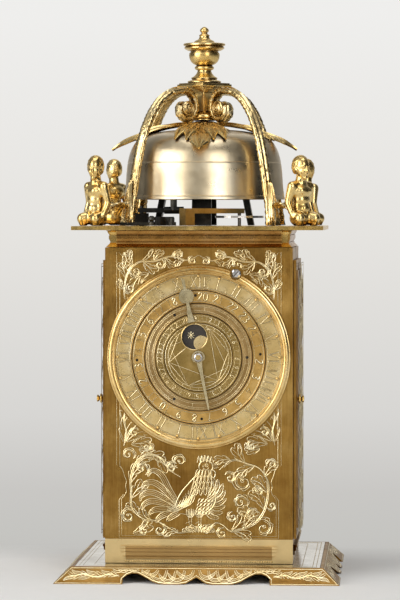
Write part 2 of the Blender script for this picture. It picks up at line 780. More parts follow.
# The body's skeleton, as shares of the height: (forward, across, up, radius), and the joints between them
figure_shares = {
    "hip": (0.0, 0.0, 0.09, 0.17), "waist": (0.02, 0.0, 0.27, 0.13), "chest": (0.04, 0.0, 0.45, 0.165),
    "neck": (0.02, 0.0, 0.60, 0.075), "head": (0.035, 0.0, 0.78, 0.135), "crown": (0.0, 0.0, 0.885, 0.085),
    "left_shoulder": (0.02, 0.17, 0.50, 0.085), "left_elbow": (-0.06, 0.235, 0.30, 0.062),
    "left_hand": (0.05, 0.20, 0.10, 0.062),
    "right_shoulder": (0.02, -0.17, 0.50, 0.085), "right_elbow": (-0.06, -0.235, 0.30, 0.062),
    "right_hand": (0.05, -0.20, 0.10, 0.062),
    "left_knee": (0.14, 0.16, 0.075, 0.085), "right_knee": (0.14, -0.16, 0.075, 0.085),
    "tail": (-0.26, 0.0, 0.11, 0.10), "tail_end": (-0.46, 0.0, 0.20, 0.06),
}
figure_bones = [("hip", "waist"), ("waist", "chest"), ("chest", "neck"), ("neck", "head"), ("head", "crown"),
                ("chest", "left_shoulder"), ("left_shoulder", "left_elbow"), ("left_elbow", "left_hand"),
                ("chest", "right_shoulder"), ("right_shoulder", "right_elbow"), ("right_elbow", "right_hand"),
                ("hip", "left_knee"), ("hip", "right_knee"), ("hip", "tail"), ("tail", "tail_end")]


def make_figure(corner, signs, materials):
    """One cast figure: a skin over its skeleton, cut flat where it sits on the plate."""
    outward = Vector((signs[0], signs[1], 0)).normalized()
    across = Vector((0, 0, 1)).cross(outward)
    names = list(figure_shares)
    seat = outward * figure_out + Vector((0, 0, plate_top_z + seat_gap))
    verts = []
    for key in names:
        ahead, side, up, _ = figure_shares[key]
        verts.append(seat + (outward * ahead + across * side + Vector((0, 0, up))) * figure_height)
    mesh = bpy.data.meshes.new("corner_figure_" + corner)
    mesh.from_pydata(verts, [(names.index(a), names.index(b)) for a, b in figure_bones], [])
    mesh.materials.append(materials["gilt"])
    figure = bpy.data.objects.new(mesh.name, mesh)
    bpy.context.scene.collection.objects.link(figure)
    skin = figure.modifiers.new("skin", "SKIN")
    skin.use_smooth_shade = True
    for layer in mesh.skin_vertices[0].data:
        layer.use_root = False
    for index, key in enumerate(names):
        radius = figure_shares[key][3] * figure_height
        mesh.skin_vertices[0].data[index].radius = (radius, radius)
    mesh.skin_vertices[0].data[names.index("hip")].use_root = True
    smooth = figure.modifiers.new("smooth", "SUBSURF")
    smooth.levels = 1
    smooth.render_levels = 1
    thin = figure.modifiers.new("thin", "DECIMATE")
    thin.ratio = figure_detail
    bm = bmesh.new()
    reach = figure_height
    floor = plate_top_z + seat_gap
    add_box(bm, (-reach, -reach, floor - reach), (reach, reach, floor))
    tool = finish(figure.name + "_floor", bm, materials["gilt"], location=(seat.x, seat.y, 0))
    join(figure, tool, "DIFFERENCE")
    return figure


# Dial: built facing +Z about its own centre, then stood up on the front panel
ring_outer = 0.0580
ring_band_outer = 0.0524
ring_inner = 0.0425
ring_band_z = 0.0018
ring_rim_z = 0.0032
hour_ring_inner = 0.0343
hour_ring_top = 0.0015
middle_ring_inner = 0.0276
middle_ring_top = 0.0013
running_gap = 0.0004
sun_disc_radius = middle_ring_inner - running_gap
sun_rim_inner = 0.0219
sun_disc_top = 0.0013
sun_rim_top = 0.0026
sun_pipe_radius = 0.0032
sun_pipe_bore = 0.0021
moon_disc_top = 0.0024
moon_disc_low = 0.0016
aperture_radius = 0.0079
aperture_out = 0.0131
dial_arbor_radius = 0.0017
sun_hand_low = 0.0029
sun_hand_high = 0.0036
moon_hand_low = 0.0039
moon_hand_high = 0.0046
hand_angle = 0.197
sun_hand_reach = 0.0501
sun_face_radius = 0.0048
sun_face_out = 0.0391
moon_hand_reach = 0.0338
stud_circle_radius = 0.0512
touch_stud_radius = 0.0008
touch_stud_height = 0.0013
setting_hole_radius = 0.0009
dial_nut_radius = 0.0033
dial_nut_height = 0.0021
dial_facets = 28
dial_origin = (0, -half_body, dial_centre_z)
dial_turn = (pi / 2, 0, 0)


def setting_holes(radius, count, start):
    return [circle(setting_hole_radius, 6, centre) for centre in circle(radius, count, start=start)]


def make_chapter_ring(materials):
    """Moulded rim with a touch stud at each hour, flat band for the twice twelve hours, and a small inner lip."""
    reach = ring_outer - ring_band_outer
    profile = [(ring_inner, seat_gap), (ring_outer, seat_gap), (ring_outer, ring_rim_z * 0.45),
               (ring_outer - reach * 0.3, ring_rim_z), (ring_outer - reach * 0.85, ring_rim_z * 0.8),
               (ring_outer - reach, ring_band_z),
               (ring_inner, ring_band_z)]

    def ring(bm):
        add_turned(bm, profile, dial_facets, closed=True)

    def studs(bm):
        low = ring_band_z - touch_stud_height / 2
        stud = [(0, low), (touch_stud_radius, low), (0, ring_band_z + touch_stud_height)]
        for x, y in circle(stud_circle_radius, 24):
            add_turned(bm, stud, 4, matrix=Matrix.Translation((x, y, 0)))

    body = combine("chapter_ring", (ring, studs), materials["gilt"])
    recess_low, recess_high = (*screw_place, -cut_overrun), (*screw_place, ring_rim_z + cut_overrun)
    cut_rods(body, [(screw_recess_radius, recess_low, recess_high)], 16)
    stand_up(body, dial_turn)


def stand_up(body, turn):
    """Places a body drawn flat about the dial's centre, with the tools of its modifiers, on the front panel."""
    for piece in [body] + [m.object for m in body.modifiers if m.type == "BOOLEAN"]:
        piece.location = dial_origin
        piece.rotation_euler = turn


def make_flat_ring(name, inner, outer, low, high, holes, facets, materials):
    ring_holes = [circle(inner, facets)] + holes
    slab(name, circle(outer, facets), low, high, materials["gilt_dark"], ring_holes, location=dial_origin,
         rotation=dial_turn)


def make_sun_disc(materials):
    """Disc with a raised rim for the age of the moon, on the pipe that carries the sun wheel behind the panel."""
    wheel_z = -(panel_thickness + sun_wheel_back)
    back = wheel_z - wheel_thickness
    pipe_middle = (sun_pipe_bore + sun_pipe_radius) / 2
    profile = [(pipe_middle, seat_gap * 2), (sun_disc_radius, seat_gap * 2), (sun_disc_radius, sun_rim_top),
               (sun_rim_inner, sun_rim_top), (sun_rim_inner, sun_disc_top), (pipe_middle, sun_disc_top)]
    pipe_profile = [(sun_pipe_bore, back), (sun_pipe_radius, back), (sun_pipe_radius, sun_disc_top - seat_gap),
                    (sun_pipe_bore, sun_disc_top - seat_gap)]

    def disc(bm):
        add_turned(bm, profile, dial_facets, closed=True)

    def pipe(bm):
        add_turned(bm, pipe_profile, 10, closed=True)

    def wheel(bm):
        add_dial_wheel(bm, sun_teeth, wheel_z, pipe_middle)

    stand_up(combine("sun_disc", (disc, pipe, wheel), materials["gilt_dark"]), dial_turn)


def make_moon_arbor(materials):
    """Arbor through the sun disc's pipe, with the moon wheel on its inner end."""
    wheel_z = -(panel_thickness + moon_wheel_back)
    low = wheel_z - wheel_thickness
    high = moon_hand_high + seat_gap + dial_nut_height * 0.9

    def arbor(bm):
        add_turned(bm, [(0, low), (dial_arbor_radius, low), (dial_arbor_radius, high), (0, high)], 8)

    def wheel(bm):
        add_dial_wheel(bm, moon_teeth, wheel_z, dial_arbor_radius / 2)

    stand_up(combine("moon_arbor", (arbor, wheel), materials["steel"]), dial_turn)


def add_dial_wheel(bm, teeth, z, bore):
    """Wheel behind the dial, one tooth gap turned towards the report pinion that drives it."""
    radius = dial_distance() * teeth / (report_leaves + teeth)
    outline = wheel_outline(teeth, radius, dial_bearing() + pi / teeth)
    add_slab(bm, outline, z - wheel_thickness / 2, z + wheel_thickness / 2, [circle(bore, 8)])


def make_moon_disc(materials):
    """Disc with a round window over the moon's phases, on its own arbor."""
    out = aperture_out
    window = circle(aperture_radius, 16, (-out * sin(hand_angle), out * cos(hand_angle)))
    bore = circle(dial_arbor_radius + seat_gap / 2, 8)
    slab("moon_disc", circle(sun_rim_inner - running_gap, dial_facets), moon_disc_low, moon_disc_top, materials["gilt_dark"],
         (window, bore), location=dial_origin, rotation=dial_turn)


def hand_points(shares, reach):
    """Mirrors (side, out) shares about the hand's own axis."""
    right = [(side * reach, out * reach) for side, out in shares]
    left = [(-x, y) for x, y in right[::-1]]
    return right + left


def make_hands(materials):
    # Side and distance along the sun hand from its inner end to its tip, as shares of its reach
    tip_shares = [(0.044, 0.45), (0.030, 0.55), (0.020, 0.66), (0.018, 0.70)]
    face = circle(sun_face_radius, 20, (0, sun_face_out), start=-pi / 2 + 0.2)
    neck = tip_shares[-1][0] * sun_hand_reach
    round_face = [(x, y) for x, y in face if x > neck * 1.2]
    right = [(s * sun_hand_reach, o * sun_hand_reach) for s, o in tip_shares]
    right += sorted(round_face, key=lambda p: p[1])
    right += [(0.017 * sun_hand_reach, sun_face_out + sun_face_radius), (0.020 * sun_hand_reach, sun_hand_reach)]
    outline = right + [(-x, y) for x, y in right[::-1]]
    slab("sun_hand", outline, sun_hand_low, sun_hand_high, materials["gilt"], location=dial_origin,
         rotation=(pi / 2, -hand_angle, 0))
    needle_shares = [(0.05, 0.09), (0.03, 0.3), (0.022, 0.8), (0.010, 1.0)]
    boss = circle(dial_nut_radius * 1.25, 20, start=-pi / 2 + 0.1)
    right = [(s * moon_hand_reach, -o * moon_hand_reach) for s, o in needle_shares[::-1]]
    right += [(x, y) for x, y in sorted(boss, key=lambda p: p[1]) if x > 0 and y > right[-1][1] * 0.75]
    outline = right + [(-x, y) for x, y in right[::-1]]
    slab("moon_hand", outline, moon_hand_low, moon_hand_high, materials["gilt"],
         (circle(dial_arbor_radius + seat_gap / 2, 12),), location=dial_origin, rotation=(pi / 2, -hand_angle, 0))
    low = moon_hand_high + seat_gap
    height = dial_nut_height
    bm = bmesh.new()
    bore = dial_arbor_radius + seat_gap / 2
    profile = [(bore, low), (dial_nut_radius, low), (dial_nut_radius, low + height * 0.5),
               (dial_nut_radius * 0.8, low + height * 0.85), (bore, low + height)]
    add_turned(bm, profile, 8, closed=True)
    finish("dial_nut", bm, materials["steel"], location=dial_origin, rotation=dial_turn)


def make_dial_screw(materials):
    """A slotted steel screw sunk beside the chapter ring, which holds the dial to the panel."""
    x, up = screw_place
    head_low = -panel_thickness * 0.6
    head_high = seat_gap
    radius = screw_hole_radius - seat_gap
    place = (x, -half_body, dial_centre_z + up)

    def head(bm):
        profile = [(0, head_low), (radius, head_low), (radius, head_high * 0.5),
                   (radius * 0.7, head_high * 2), (0, head_high * 3)]
        turn = Matrix.Rotation(pi / 2, 4, "X")
        add_turned(bm, profile, 12, matrix=Matrix.Translation(place) @ turn)

    screw = combine("dial_screw", (head,), materials["steel"])
    bm = bmesh.new()
    slot = radius * 0.14
    add_box(bm, (-radius * 1.2, -radius * 0.3, -slot), (radius * 1.2, radius * 0.1, slot))
    tool = finish("dial_screw_slot", bm, materials["steel"], location=place, rotation=(0, -pi / 4, 0))
    join(screw, tool, "DIFFERENCE")


def make_dial(materials):
    make_chapter_ring(materials)
    hour_low = seat_gap
    make_flat_ring("hour_ring", hour_ring_inner, ring_inner - running_gap, hour_low, hour_ring_top,
                   setting_holes((hour_ring_inner + ring_inner) / 2, 4, pi / 2 + 0.05), dial_facets, materials)
    middle_outer = hour_ring_inner - running_gap
    make_flat_ring("middle_ring", middle_ring_inner, middle_outer, seat_gap, middle_ring_top,
                   setting_holes((middle_ring_inner + middle_outer) / 2, 3, 0), dial_facets, materials)
    make_sun_disc(materials)
    make_moon_disc(materials)
    make_moon_arbor(materials)
    make_hands(materials)
    make_dial_screw(materials)


# Movement: two trains side by side between front and back bars, the going train under the balance
movement_plate_inset = 0.00585
movement_plate_half = half_body - movement_plate_inset
movement_plate_thickness = 0.0022
pillar_radius = 0.0032
pillar_inset = 0.0055
pillar_place = movement_plate_half - pillar_inset
bar_width = 0.0120
bar_thickness = 0.0026
front_bar_y = -0.0400
back_bar_y = 0.0400
arbor_radius = 0.0016
pivot_radius = 0.0010
pivot_bore = 0.0014
barrel_radius = 0.0168
barrel_drum_share = 0.95
barrel_cap_thickness = 0.0014
barrel_low_y = -0.0180
barrel_high_y = 0.0220
barrel_z = 0.0600
fusee_z = 0.1120
fusee_large = 0.0130
fusee_small = 0.0070
fusee_turns = 4
great_teeth = 36
pinion_leaves = 8
great_radius = 0.0216
great_plane_y = 0.0270
second_teeth = 32
second_radius = 0.0185
wheel_thickness = 0.0016
second_plane_y = 0.0330
crown_radius = 0.0125
crown_teeth = 9
crown_depth = 0.0042
crown_plane_y = -0.0170
winding_square = 0.0026
winding_end_inset = 0.0010
winding_end_y = half_body - winding_end_inset
wheel_addendum_share = 0.55
wheel_dedendum_share = 1.0
leaf_addendum_share = 0.4
leaf_dedendum_share = 1.0
arbor_facets = 6
drum_facets = 10
report_leaves = 10
sun_teeth = 57
moon_teeth = 59
sun_wheel_back = 0.0045
moon_wheel_back = 0.0095
balance_radius = 0.0155
balance_height = 0.0058
balance_z = plate_top_z + balance_height
balance_width = 0.0022
balance_thickness = 0.0014
balance_headroom = 0.0042
fly_reach = 0.0105
fly_low_y = -0.0280
fly_high_y = -0.0080
great_pinion_radius = great_radius * pinion_leaves / great_teeth
second_z = fusee_z + great_radius + great_pinion_radius
second_pinion_radius = second_radius * pinion_leaves / second_teeth
third_z = second_z + second_radius + second_pinion_radius


def wheel_outline(teeth, radius, start=0.0):
    """Fine pointed teeth of a large wheel. They are slimmer than the gaps, so that no two wheels ever touch."""
    module = 2 * radius / teeth
    reach = {0: radius + module * wheel_addendum_share, 1: radius - module * wheel_dedendum_share}
    points = []
    for i in range(teeth * 2):
        angle = start + pi * i / teeth
        points.append((reach[i % 2] * cos(angle), reach[i % 2] * sin(angle)))
    return points


def pinion_outline(leaves, radius, start=0.0):
    """Pointed leaves of a pinion."""
    module = 2 * radius / leaves
    root, tip = radius - module * leaf_dedendum_share, radius + module * leaf_addendum_share
    points = []
    for i in range(leaves):
        middle = start + 2 * pi * i / leaves
        for reach, offset in ((tip, 0), (root, 0.5)):
            angle = middle + offset * 2 * pi / leaves
            points.append((reach * cos(angle), reach * sin(angle)))
    return points


def spoke_windows(hub, rim, count, half_spoke):
    """Openings between the crossings of a wheel."""
    windows = []
    for i in range(count):
        first, last = 2 * pi * i / count, 2 * pi * (i + 1) / count
        points = []
        for radius, sweep in ((rim, 1), (hub, -1)):
            trim = half_spoke / radius
            steps = 2 if sweep > 0 else 1
            for k in range(steps + 1):
                share = k / steps if sweep > 0 else 1 - k / steps
                angle = first + trim + (last - first - 2 * trim) * share
                points.append((radius * cos(angle), radius * sin(angle)))
        windows.append(points)
    return windows


def along_y(y, x=0.0, z=0.0):
    """Stands a shape drawn in XY upright, so that its +Z points to -Y and its plane is at y."""
    return Matrix.Translation((x, y, z)) @ Matrix.Rotation(pi / 2, 4, "X")


def add_wheel(bm, outline, windows, y, thickness, x, z):
    made = add_slab(bm, outline, -thickness / 2, thickness / 2, windows)
    bmesh.ops.transform(bm, matrix=along_y(y, x, z), verts=made)


def add_arbor(bm, x, z, low_y, high_y, radius=arbor_radius, pivots=True):
    """An arbor along Y with a thinner pivot at each end."""
    reach = bar_thickness + seat_gap
    profile = [(0, low_y), (radius, low_y), (radius, high_y), (0, high_y)]
    if pivots:
        profile = [(0, low_y - reach), (pivot_radius, low_y - reach), (pivot_radius, low_y), (radius, low_y),
                   (radius, high_y), (pivot_radius, high_y), (pivot_radius, high_y + reach), (0, high_y + reach)]
    turn = Matrix.Translation((x, 0, z)) @ Matrix.Rotation(-pi / 2, 4, "X")
    add_turned(bm, profile, arbor_facets, matrix=turn)


def bar_faces():
    return front_bar_y + bar_thickness / 2 + seat_gap, back_bar_y - bar_thickness / 2 - seat_gap


def make_movement_frame(materials):
    """Bottom plate with four turned pillars under the top plate, then two upright bars at each end."""
    half = movement_plate_half
    low = base_height + seat_gap
    high = low + movement_plate_thickness
    floor, ceiling = high + seat_gap, case_top_z - seat_gap
    shares = [(0, 0), (1.35, 0), (1.35, 0.04), (0.85, 0.06), (0.85, 0.94), (1.35, 0.96), (1.35, 1.0), (0, 1.0)]

    def plate(bm):
        add_box(bm, (-half, -half, low), (half, half, high))

    def pillars(bm):
        for x, y in corner_signs.values():
            start = high - movement_plate_thickness / 2
            profile = [(pillar_radius * r, start + (ceiling - start) * h) for r, h in shares]
            add_turned(bm, profile, 6, matrix=Matrix.Translation((pillar_place * x, pillar_place * y, 0)))

    combine("movement_frame", (plate, pillars), materials["brass"])
    reach = train_x + bar_width / 2
    outline = [(-reach, floor), (reach, floor), (reach, ceiling), (-reach, ceiling)]
    inner = train_x - bar_width / 2
    window_low, window_high = floor + bar_width, ceiling - bar_width
    window = [(-inner, window_low), (inner, window_low), (inner, window_high), (-inner, window_high)]
    for name, y in (("front_bars", front_bar_y), ("back_bars", back_bar_y)):
        holes = [window]
        for x in (-train_x, train_x):
            for z in (barrel_z, fusee_z, second_z, third_z):
                winding = y > 0 and z == fusee_z
                crown_front = y < 0 and z == third_z and x > 0
                if not crown_front:
                    holes.append(circle(winding_square * 0.75 + seat_gap if winding else pivot_bore, 6, (x, z)))
        bm = bmesh.new()
        made = add_slab(bm, outline, -bar_thickness / 2, bar_thickness / 2, holes)
        bmesh.ops.transform(bm, matrix=along_y(y), verts=made)
        finish(name, bm, materials["brass"])


def make_barrel(name, x, materials):
    """Spring barrel on its arbor, with the first turns of the line wound on it."""
    front, back = bar_faces()
    cap = barrel_cap_thickness

    def drum(bm):
        rim, middle = barrel_radius, barrel_radius * barrel_drum_share
        low, high = barrel_low_y, barrel_high_y
        profile = [(0, low), (rim, low), (rim, low + cap), (middle, low + cap * 1.4), (middle, high - cap * 1.4),
                   (rim, high - cap), (rim, high), (0, high)]
        turn = Matrix.Translation((x, 0, barrel_z)) @ Matrix.Rotation(-pi / 2, 4, "X")
        add_turned(bm, profile, drum_facets, matrix=turn)

    def arbor(bm):
        add_arbor(bm, x, barrel_z, front, back)

    combine(name, (drum, arbor), materials["brass"], origin=(x, 0, barrel_z))


def fusee_profile():
    """(radius, y) points of the stepped cone, from its small end to its large end."""
    cone_low, cone_high = barrel_low_y, great_plane_y - wheel_thickness
    pitch = (cone_high - cone_low) / (fusee_turns + 0.5)
    profile = [(fusee_small * 1.15, cone_low), (fusee_small * 1.15, cone_low + pitch * 0.25)]
    for i in range(fusee_turns):
        share = i / (fusee_turns - 1)
        radius = fusee_small * fusee_large / (fusee_large + (fusee_small - fusee_large) * share)
        start = cone_low + pitch * (i + 0.25)
        profile += [(radius * 0.93, start + pitch * 0.4), (radius, start + pitch)]
    return profile + [(fusee_large * 1.08, cone_high)]


def fusee_radius(y):
    """Radius of the cone where the line leaves it."""
    profile = fusee_profile()
    for (r0, y0), (r1, y1) in zip(profile, profile[1:]):
        if y0 <= y <= y1:
            return r0 + (r1 - r0) * (y - y0) / (y1 - y0)
    return profile[-1][0]


def make_fusee(name, x, materials):
    """Stepped fusee cone, great wheel and winding square on one arbor."""
    front, back = bar_faces()

    def cone(bm):
        points = fusee_profile()
        profile = [(0, points[0][1]), *points, (0, points[-1][1])]
        turn = Matrix.Translation((x, 0, fusee_z)) @ Matrix.Rotation(-pi / 2, 4, "X")
        add_turned(bm, profile, drum_facets, matrix=turn)

    def wheel(bm):
        add_wheel(bm, wheel_outline(great_teeth, great_radius), (), great_plane_y, wheel_thickness, x, fusee_z)

    def arbor(bm):
        add_arbor(bm, x, fusee_z, front, back)

    def square(bm):
        half = winding_square / 2
        add_box(bm, (x - half, back - wheel_thickness, fusee_z - half), (x + half, winding_end_y, fusee_z + half))

    combine(name, (wheel, cone, arbor, square), materials["brass"], origin=(x, 0, fusee_z))


def make_second(name, x, pins, materials):
    """Second wheel with its pinion. The striking one carries lifting pins."""
    front, back = bar_faces()
    drives_dial = x > 0

    def wheel(bm):
        windows = spoke_windows(second_radius * 0.3, second_radius * 0.78, 3, second_radius * 0.07)
        # The tooth towards the next pinion lies half a pitch off its leaf
        add_wheel(bm, wheel_outline(second_teeth, second_radius, pi / second_teeth), windows, second_plane_y,
                  wheel_thickness, x, second_z)

    def pinion(bm):
        start = pi / pinion_leaves + pi / 2 + pi
        outline = pinion_outline(pinion_leaves, great_pinion_radius, start)
        add_wheel(bm, outline, (), great_plane_y, wheel_thickness * 2.2, x, second_z)

    def arbor(bm):
        add_arbor(bm, x, second_z, front, back)

    parts = [wheel, pinion, arbor]
    if pins:
        def lifting_pins(bm):
            for px, pz in circle(second_radius * 0.86, 6):
                add_rod(bm, pivot_radius * 0.8, (x + px, second_plane_y, second_z + pz),
                        (x + px, second_plane_y - crown_depth, second_z + pz), 6)
        parts.append(lifting_pins)
    if drives_dial:
        def report(bm):
            tip = -half_body + panel_thickness + seat_gap * 2
            add_rod(bm, pivot_radius, (x, front, second_z), (x, tip, second_z), arbor_facets)

        def pinions(bm):
            for back_off, teeth in ((sun_wheel_back, sun_teeth), (moon_wheel_back, moon_teeth)):
                y = -half_body + panel_thickness + back_off
                radius = dial_distance() * report_leaves / (report_leaves + teeth)
                outline = pinion_outline(report_leaves, radius, report_start())
                add_wheel(bm, outline, (), y, wheel_thickness * 1.4, x, second_z)
        parts += [report, pinions]
    combine(name, parts, materials["brass"], origin=(x, 0, second_z))


def dial_distance():
    return hypot(train_x, dial_centre_z - second_z)


def dial_bearing():
    """Angle, in the upright XZ plane, from the dial's centre to the second arbor."""
    return atan2(second_z - dial_centre_z, train_x)


def report_start():
    """A leaf of the report pinion points at the dial's centre."""
    return dial_bearing() + pi


def make_crown_wheel(materials):
    """Escape wheel: saw teeth stand along the axis, towards the verge."""
    back = bar_faces()[1]
    x = train_x

    def rim(bm):
        pitch = 2 * pi / crown_teeth
        inner = crown_radius * 0.88
        rings = {"outer": [], "inner": []}
        for i in range(crown_teeth * 2):
            angle = i * pitch / 2 + (pitch * 0.22 if i % 2 else 0)
            front_y = crown_plane_y - (crown_depth if i % 2 == 0 else crown_depth * 0.15)
            for key, radius in (("outer", crown_radius), ("inner", inner)):
                place = (x + radius * cos(angle), third_z + radius * sin(angle))
                rings[key].append((bm.verts.new((place[0], front_y, place[1])),
                                   bm.verts.new((place[0], crown_plane_y + wheel_thickness, place[1]))))
        count = crown_teeth * 2
        for i in range(count):
            j = (i + 1) % count
            out_i, out_j, in_i, in_j = rings["outer"][i], rings["outer"][j], rings["inner"][i], rings["inner"][j]
            bm.faces.new((out_i[0], out_j[0], out_j[1], out_i[1]))
            bm.faces.new((in_i[0], in_i[1], in_j[1], in_j[0]))
            bm.faces.new((out_i[0], in_i[0], in_j[0], out_j[0]))
            bm.faces.new((out_i[1], out_j[1], in_j[1], in_i[1]))

    def crossings(bm):
        outline = circle(crown_radius * 0.93, 12)
        windows = spoke_windows(crown_radius * 0.25, crown_radius * 0.78, 3, crown_radius * 0.09)
        add_wheel(bm, outline, windows, crown_plane_y + wheel_thickness / 2, wheel_thickness * 0.8, x, third_z)

    def pinion(bm):
        start = pi / 2 + pi
        outline = pinion_outline(pinion_leaves, second_pinion_radius, start)
        add_wheel(bm, outline, (), second_plane_y, wheel_thickness * 2, x, third_z)

    def arbor(bm):
        profile_low = crown_plane_y
        reach = bar_thickness + seat_gap
        profile = [(0, profile_low), (arbor_radius, profile_low), (arbor_radius, back), (pivot_radius, back),
                   (pivot_radius, back + reach), (0, back + reach)]
        turn = Matrix.Translation((x, 0, third_z)) @ Matrix.Rotation(-pi / 2, 4, "X")
        add_turned(bm, profile, arbor_facets, matrix=turn)

    combine("crown_wheel", (rim, crossings, arbor, pinion), materials["brass"], origin=(x, 0, third_z))


potence_y = -0.0090
potence_width = 0.0080
potence_thickness = 0.0024
verge_foot_drop = 0.0060
verge_low_z = third_z - crown_radius - verge_foot_drop
pallet_width = 0.0030
pallet_reach = 0.0034
pallet_thickness = 0.0007


def make_potence(materials):
    """Bracket under the top plate: it carries the crown wheel's front end and the foot of the verge."""
    x = train_x
    ceiling = case_top_z - seat_gap
    foot_low = verge_low_z - potence_thickness

    def hanger(bm):
        add_box(bm, (x - potence_width / 2, potence_y, foot_low),
                (x + potence_width / 2, potence_y + potence_thickness, ceiling))

    def shoe(bm):
        front = verge_place[1] - potence_width * 0.45
        add_box(bm, (x - potence_width * 0.45, front, foot_low),
                (x + potence_width * 0.45, potence_y + potence_thickness * 0.9, foot_low + potence_thickness))

    potence = combine("potence", (hanger, shoe), materials["brass"], smooth_angle=pi / 6)
    bore = arbor_radius + seat_gap
    step = seat_gap * 2
    cut_rods(potence, [
        (bore, (x, potence_y - cut_overrun, third_z), (x, potence_y + potence_thickness + cut_overrun, third_z)),
        (verge_radius + seat_gap / 2, (x, verge_place[1], foot_low + step),
         (x, verge_place[1], foot_low + potence_thickness + cut_overrun)),
    ])


def verge_top_z():
    return balance_z + balance_headroom


def make_balance(materials):
    """Verge with two pallets, and the balance wheel on its upper end."""
    x, y = verge_place
    top = verge_top_z()

    def verge(bm):
        add_rod(bm, verge_radius, (x, y, verge_low_z - potence_thickness * 0.6), (x, y, top), 10)

    def pallets(bm):
        for z, swing in ((third_z - crown_radius, -pi / 4), (third_z + crown_radius, pi / 4)):
            made = set(bm.verts)
            add_box(bm, (-pallet_thickness / 2, 0, -pallet_width / 2), (pallet_thickness / 2, pallet_reach, pallet_width / 2))
            fresh = [v for v in bm.verts if v not in made]
            turn = Matrix.Translation((x, y, z)) @ Matrix.Rotation(swing, 4, "Z")
            bmesh.ops.transform(bm, matrix=turn, verts=fresh)

    def wheel(bm):
        rim = balance_radius - balance_width
        windows = spoke_windows(verge_radius * 2.2, rim, 3, balance_width * 0.4)
        made = add_slab(bm, circle(balance_radius, 20), balance_z - balance_thickness / 2,
                        balance_z + balance_thickness / 2, windows)
        bmesh.ops.translate(bm, verts=made, vec=(x, y, 0))

    combine("balance_and_verge", (wheel, verge, pallets), materials["steel"], origin=(x, y, 0))


cock_width = 0.0070
cock_thickness = 0.0020
cock_foot = (-0.0080, -0.0510)


def make_balance_cock(materials):
    """Gilt cock whose arm reaches from a foot at the plate's front, over the balance, to the verge's upper end."""
    pivot, foot = Vector((*verge_place, 0)), Vector((*cock_foot, 0))
    low = plate_top_z + seat_gap
    top = verge_top_z()
    run = pivot - foot
    side = Vector((-run.y, run.x, 0)).normalized() * cock_width / 2
    ahead = run.normalized() * cock_width / 2

    def arm(bm):
        corners = [foot - side - ahead, pivot - side * 0.8 + ahead * 0.6, pivot + ahead, pivot + side * 0.8 + ahead * 0.6,
                   foot + side - ahead]
        add_slab(bm, [(p.x, p.y) for p in corners], top - cock_thickness, top + cock_thickness * 0.6)

    def post(bm):
        corners = [foot - side - ahead, foot - side + ahead, foot + side + ahead, foot + side - ahead]
        add_slab(bm, [(p.x, p.y) for p in corners], low, top - cock_thickness / 2)

    cock = combine("balance_cock", (post, arm), materials["gilt"], smooth_angle=pi / 6)
    start = (pivot.x, pivot.y, top - cock_thickness - cut_overrun)
    cut_rods(cock, [(verge_radius + seat_gap / 2, start, (pivot.x, pivot.y, top + seat_gap / 2))])


# Hammer: its arbor goes down to the striking train, and its head has a lug that reaches up inside the bell
hammer_tail_drop = 0.0060
hammer_arm_height = 0.0100
hammer_low_z = second_z - hammer_tail_drop
hammer_arm_z = plate_top_z + hammer_arm_height
hammer_arm_width = 0.0036
hammer_arm_thickness = 0.0030
hammer_head_place = (-0.0170, -0.0400)
hammer_head_radius = 0.0024
hammer_head_length = 0.0124
hammer_lug_radius = 0.0021
hammer_lug_height = 0.0150
hammer_cock_width = 0.0090


def make_hammer(materials):
    x, y = hammer_place
    head = Vector((*hammer_head_place, hammer_arm_z))
    outward = Vector((head.x, head.y, 0)).normalized()
    run = Vector((head.x - x, head.y - y, 0))

    def arbor(bm):
        add_rod(bm, hammer_arbor_radius, (x, y, hammer_low_z), (x, y, hammer_arm_z + hammer_arm_thickness), 8)

    def arm(bm):
        half = hammer_arm_width / 2
        made = set(bm.verts)
        add_box(bm, (-half, -half, -hammer_arm_thickness / 2), (half, run.length, hammer_arm_thickness / 2))
        fresh = [v for v in bm.verts if v not in made]
        turn = Matrix.Translation((x, y, hammer_arm_z)) @ Matrix.Rotation(atan2(run.y, run.x) - pi / 2, 4, "Z")
        bmesh.ops.transform(bm, matrix=turn, verts=fresh)

    def striker(bm):
        half = Vector((hammer_head_length / 2, 0, 0))
        add_rod(bm, hammer_head_radius, head - half, head + half, 10)

    def lug(bm):
        start = head + outward * hammer_head_radius * 0.2
        add_rod(bm, hammer_lug_radius, start, start + Vector((0, 0, hammer_lug_height)), 8)
        nose = start + Vector((0, 0, hammer_lug_height - hammer_lug_radius))
        add_rod(bm, hammer_lug_radius * 0.8, nose, nose + outward * hammer_lug_radius * 2, 6)

    def tail(bm):
        half = hammer_arm_width / 2
        z = hammer_low_z + hammer_arm_thickness
        reach = second_plane_y - crown_depth - seat_gap * 1.5
        add_box(bm, (x - half, y - half, z - half), (x + half, reach, z + half))

    combine("hammer", (arbor, arm, striker, lug, tail), materials["iron"], origin=(x, y, 0))


def make_hammer_cock(materials):
    """Iron collar that guides the hammer arbor above the plate."""
    x, y = hammer_place
    bore = hammer_arbor_radius + seat_gap / 2
    low = plate_top_z + seat_gap
    high = hammer_arm_z - hammer_arm_thickness / 2 - seat_gap
    half = hammer_cock_width / 2
    outline = [(x - half, y - half * 0.7), (x + half, y - half * 0.7), (x + half, y + half * 0.7), (x - half, y + half * 0.7)]
    slab("hammer_cock", outline, low, high, materials["iron"], (circle(bore, 12, (x, y)),))


lever_pin_place = (-0.0300, -0.0570)
lever_length = 0.0200
lever_width = 0.0036
lever_thickness = 0.0020
knob_height = 0.0062
